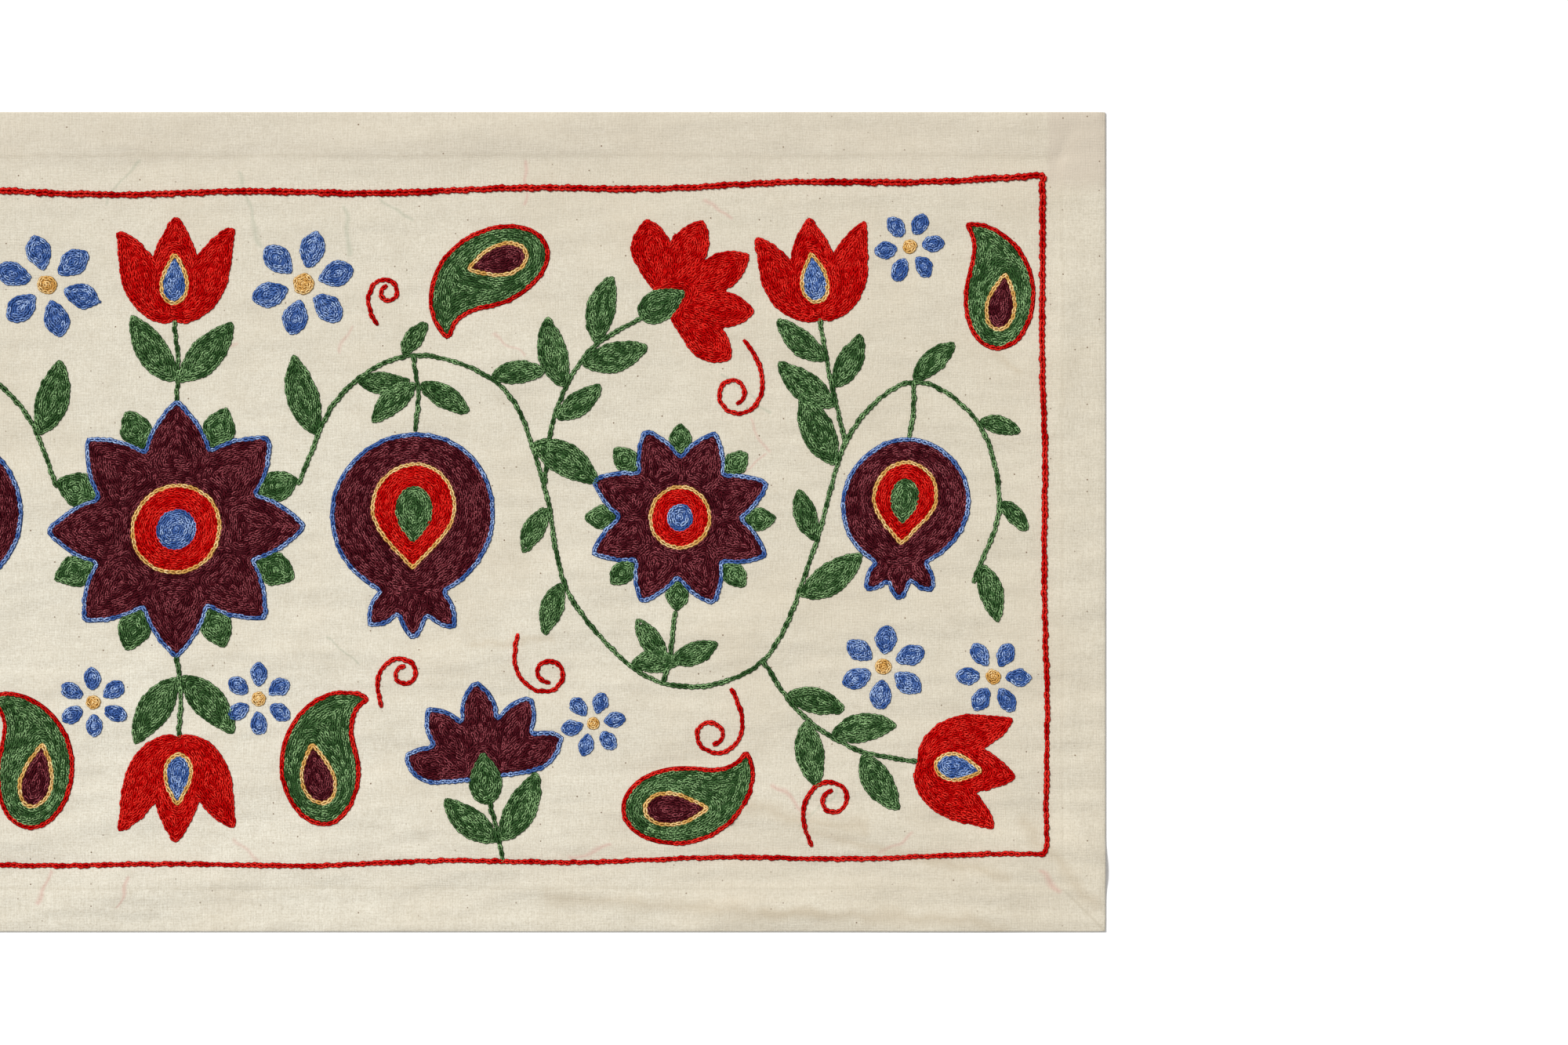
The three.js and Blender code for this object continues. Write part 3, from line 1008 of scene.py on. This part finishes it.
# Star flowers have eight pointed maroon petals with a blue outline, green tips between them, a red heart
# with a yellow outline, and a blue eye.
UP = math.pi / 2


def unit(angle):
    return np.array([math.cos(angle), math.sin(angle)])


def spine(base, heading, length, bend=0.0, curl=0.0):
    """A line from base: it sets off at heading, turns by bend on its way, and by curl more near its tip."""
    steps = 28
    t = (np.arange(steps) + 0.5) / steps
    angle = heading + bend * t + curl * t**3
    strides = np.column_stack([np.cos(angle), np.sin(angle)]) * length / steps
    return np.vstack([[base], np.array(base) + np.cumsum(strides, axis=0)])


def blade(line, half_width):
    """The outline round a line. half_width gives half the width from 0 at its base to 1 at its tip."""
    t = 0.5 - 0.5 * np.cos(np.linspace(0, math.pi, 30))
    s = np.linspace(0, 1, len(line))
    centre = np.column_stack([np.interp(t, s, line[:, 0]), np.interp(t, s, line[:, 1])])
    along = np.gradient(centre, t, axis=0)
    along /= np.linalg.norm(along, axis=1)[:, None]
    aside = np.column_stack([-along[:, 1], along[:, 0]]) * half_width(t)[:, None]
    return np.vstack([centre + aside, (centre - aside)[-2:0:-1]])


def almond(width, fullest=0.5):
    """Pointed at both ends, and fullest at that share of its length."""
    power = math.log(0.5) / math.log(fullest)
    return lambda t: width / 2 * np.sin(math.pi * t**power) ** 0.85


def disc(centre, radius):
    angle = np.linspace(0, 2 * math.pi, 32, endpoint=False)
    return np.array(centre) + radius * np.column_stack([np.cos(angle), np.sin(angle)])


def star_flower(centre, radius, side=1, turn=0.0, petal_count=8):
    petals = []
    tips = []
    for k in range(petal_count):
        heading = turn + 2 * math.pi * k / petal_count
        between = heading + math.pi / petal_count
        root = centre + unit(heading) * radius * 0.18
        petals.append(blade(spine(root, heading, radius * 0.82), almond(radius * 0.5, 0.46)))
        tip_root = centre + unit(between) * radius * 0.5
        tips.append(blade(spine(tip_root, between, radius * 0.5), almond(radius * 0.26, 0.56)))
    heart = disc(centre, radius * 0.34)
    eye = disc(centre, radius * 0.15)
    stitch_fill("maroon", side, petals, [heart], edge="blue")
    stitch_fill("red", side, [heart], [eye], edge="yellow")
    stitch_fill("blue", side, [eye])
    for tip in tips:
        stitch_fill("green", side, [tip], petals)


star_flower((0, -4), 72)
sew("centre_star")
for side in (1, -1):
    star_flower((276, 2), 53, side, turn=math.pi / 8)
sew("side_stars")


# Pomegranates hang from the vine: a round maroon fruit with a crown and a blue outline, and a red drop
# with a yellow outline and a green seed in it.
def drop(width, head=0.36):
    """Round at its base and pointed at its tip; head is the share of its length that is round."""

    def half_width(t):
        round_end = np.sqrt(np.clip(1 - (1 - t / head) ** 2, 0, 1))
        taper = np.cos(np.clip((t - head) / (1 - head), 0, 1) * math.pi / 2) ** 1.15
        return width / 2 * np.where(t < head, round_end, taper)

    return half_width


def pomegranate(base, heading, radius, side=1):
    up = unit(heading)
    aside = unit(heading - math.pi / 2)
    centre = base + up * radius
    neck = centre + up * radius * 0.8
    crown = [blade(spine(neck, heading, radius * 0.7), almond(radius * 0.36))]
    for s in (-1, 1):
        root = neck + aside * s * radius * 0.16
        crown.append(blade(spine(root, heading - s * 0.42, radius * 0.66, -s * 0.4), almond(radius * 0.36)))
    bed = blade(spine(centre - up * radius * 0.66, heading, radius * 1.36), drop(radius * 1.05, 0.42))
    seed = blade(spine(centre - up * radius * 0.38, heading, radius * 0.76), drop(radius * 0.46, 0.42))
    stitch_fill("maroon", side, [disc(centre, radius), *crown], [bed], edge="blue")
    stitch_fill("red", side, [bed], [seed], edge="yellow")
    stitch_fill("green", side, [seed])


for side in (1, -1):
    pomegranate((130, 50), -UP, 46, side)
    pomegranate((402, 46), -UP - 0.05, 36, side)
sew("pomegranates")


# Tulips are red, with three pointed petals and a blue drop in a yellow line at their heart.
def tulip(base, heading, size, side=1):
    petals = [blade(spine(base, heading, size * 0.94), almond(size * 0.44, 0.46))]
    for s in (-1, 1):
        petal = spine(base, heading + s * 0.95, size, -s * 1.4, s * 1.3)
        petals.append(blade(petal, almond(size * 0.38, 0.42)))
    heart = blade(spine(base + unit(heading) * size * 0.14, heading, size * 0.52), drop(size * 0.28))
    stitch_fill("red", side, petals, [heart])
    stitch_fill("blue", side, [heart], edge="yellow")


tulip((0, 110), UP, 62)
tulip((0, -118), -UP, 62)
for side in (1, -1):
    tulip((354, 112), UP + 0.12, 60, side)
    tulip((406, -132), -0.15, 60, side)
sew("tulips")


# Carnations are fans of five petals, maroon with a blue outline or plain red, out of a green cup.
def carnation(base, heading, size, thread, side=1):
    ahead = unit(heading)
    petals = []
    for lean in (-1.16, -0.58, 0, 0.58, 1.16):
        petal = spine(base + ahead * size * 0.1, heading + lean, size * (0.94 - 0.12 * abs(lean)))
        petals.append(blade(petal, almond(size * 0.34, 0.66)))
    petals.append(disc(base + ahead * size * 0.3, size * 0.2))
    cup = blade(spine(base - ahead * size * 0.1, heading, size * 0.5), drop(size * 0.3, 0.4))
    stitch_fill(thread, side, petals, [cup], edge="blue" if thread == "maroon" else None)
    stitch_fill("green", side, [cup])


for side in (1, -1):
    carnation((170, -148), UP + 0.1, 60, "maroon", side)
    carnation((260, 114), 0.55, 62, "red", side)
sew("carnations")


# Paisleys are green drops with a bent tip, a red outline, and a maroon drop in a yellow line inside.
def paisley(base, heading, length, bend, curl, side=1):
    width = length * 0.49
    body = blade(spine(base, heading, length, bend, curl), drop(width))
    eye_root = base + unit(heading) * length * 0.13
    eye = blade(spine(eye_root, heading, length * 0.44, bend * 0.5), drop(width * 0.46))
    stitch_fill("green", side, [body], [eye], edge="red")
    stitch_fill("maroon", side, [eye], edge="yellow")


for side in (1, -1):
    paisley((84, -168), UP + 0.3, 90, -0.5, -1.7, side)
    paisley((206, 148), math.pi + 0.12, 88, 0.5, 1.6, side)
    paisley((447, 94), UP - 0.3, 80, 0.45, 1.3, side)
    paisley((244, -156), -0.12, 88, 0.5, 1.5, side)
sew("paisleys")


# Daisies have six separate blue petals round a yellow eye.
def daisy(centre, radius, side=1, turn=0.0, petal_count=6):
    for k in range(petal_count):
        heading = turn + 2 * math.pi * k / petal_count
        petal = spine(centre + unit(heading) * radius * 0.25, heading, radius * 0.78)
        stitch_fill("blue", side, [blade(petal, almond(radius * 0.5, 0.56))])
    stitch_fill("yellow", side, [disc(centre, radius * 0.2)])


for side in (1, -1):
    daisy((70, 130), 29, side, 0.3)
    daisy((403, 150), 20, side, 0.1)
    daisy((388, -80), 24, side, 0.4)
    daisy((448, -86), 22, side)
    daisy((228, -112), 19, side, 0.2)
    daisy((46, -98), 20, side, 0.5)
sew("daisies")


# A green vine waves from the middle star to each end, with pointed leaves on it. Short stems with
# leaves of their own carry the flowers.
def smooth_line(points):
    """A curve through given points."""
    p = np.array(points, float)
    p = np.vstack([2 * p[0] - p[1], p, 2 * p[-1] - p[-2]])
    t = np.linspace(0, 1, 16, endpoint=False)[:, None]
    pieces = []
    for a, b, c, d in zip(p, p[1:], p[2:], p[3:]):
        slope, bow, twist = c - a, 2 * a - 5 * b + 4 * c - d, 3 * b - a - 3 * c + d
        pieces.append(0.5 * (2 * b + slope * t + bow * t**2 + twist * t**3))
    return np.vstack([*pieces, p[-2:-1]])


LEAF_BEND = 0.35


def leafy_stem(points, leaves, side=1, spread=0.85):
    """A stem through points. Each leaf has its place along it, 1 for left or -1 for right, and its length."""
    stem = smooth_line(points)
    stitch_line("green", side, stem)
    run = np.concatenate([[0], np.cumsum(np.linalg.norm(np.diff(stem, axis=0), axis=1))])
    for share, hand, length in leaves:
        i = int(np.searchsorted(run, share * run[-1]))
        ahead = stem[min(i + 1, len(stem) - 1)] - stem[max(i - 1, 0)]
        heading = math.atan2(ahead[1], ahead[0])
        leaf = spine(stem[i], heading + hand * spread, length, -hand * LEAF_BEND)
        stitch_fill("green", side, [blade(leaf, almond(length * 0.4, 0.47))])


VINE = [
    (66, 20), (88, 66), (130, 92), (178, 74), (202, 20), (218, -44), (266, -88),
    (322, -76), (350, -14), (368, 48), (404, 76), (440, 52), (451, 6), (438, -34),
]
VINE_LEAVES = [
    (0.04, 1, 46), (0.09, -1, 30), (0.13, 1, 26), (0.2, 1, 34), (0.26, 1, 44), (0.31, -1, 30), (0.37, -1, 32),
    (0.45, 1, 30), (0.62, -1, 44), (0.66, 1, 32), (0.72, 1, 46), (0.81, 1, 34),
    (0.87, 1, 26), (0.93, 1, 26), (0.985, 1, 34),
]
for up in (1, -1):
    stem = [(0, -4 + up * 70), (1.5, -4 + up * 92), (0, -4 + up * 114)]
    leafy_stem(stem, [(0.25, 1, 46), (0.25, -1, 46)])
for side in (1, -1):
    leafy_stem(VINE, VINE_LEAVES, side)
    leafy_stem([(130, 92), (132, 70), (130, 51)], [(0.35, 1, 34), (0.35, -1, 34)], side, 1.1)
    leafy_stem([(268, -88), (273, -70), (275, -51)], [(0.3, 1, 30), (0.3, -1, 30)], side, 1.1)
    leafy_stem([(404, 76), (404, 60), (402, 46)], [], side)
    leafy_stem([(180, -187), (176, -168), (171, -150)], [(0.3, 1, 40), (0.3, -1, 44)], side)
    branch = [(202, 20), (208, 60), (226, 92), (258, 112)]
    leafy_stem(branch, [(0.3, -1, 34), (0.46, 1, 42), (0.6, -1, 40), (0.72, 1, 40)], side)
    leafy_stem([(366, 42), (358, 80), (354, 112)], [(0.3, 1, 40), (0.42, -1, 36), (0.66, 1, 36)], side)
    branch = [(322, -76), (342, -104), (372, -124), (405, -132)]
    leafy_stem(branch, [(0.2, 1, 36), (0.36, -1, 40), (0.52, 1, 38), (0.7, -1, 40)], side)
    sew("right_vine" if side > 0 else "left_vine")


# Thin red scrolls, each one row of stitches that rolls up at its end, fill the last spaces.
SCROLL_BEND = 1.2
SCROLL_CURL = 7.0
SCROLL_TIGHTENING = 2.2


def scroll(base, heading, length, hand, side=1):
    t = np.linspace(0, 1, 90)
    angle = heading + hand * (SCROLL_BEND * t + SCROLL_CURL * t**SCROLL_TIGHTENING)
    path = np.column_stack([np.cumsum(np.cos(angle)), np.cumsum(np.sin(angle))]) * length / len(t)
    stitch_line("red", side, base + path)


SCROLLS = [
    ((112, 108), UP + 0.6, 62, -1),
    ((312, 100), -UP + 0.7, 96, -1),
    ((188, -60), -UP - 0.3, 90, 1),
    ((304, -90), -UP + 0.5, 92, -1),
    ((350, -178), UP + 0.5, 90, -1),
    ((112, -102), UP + 0.3, 74, -1),
]
for side in (1, -1):
    for base, heading, length, hand in SCROLLS:
        scroll(base, heading, length, hand, side)
sew("scrolls")

bpy.data.objects.remove(loop)
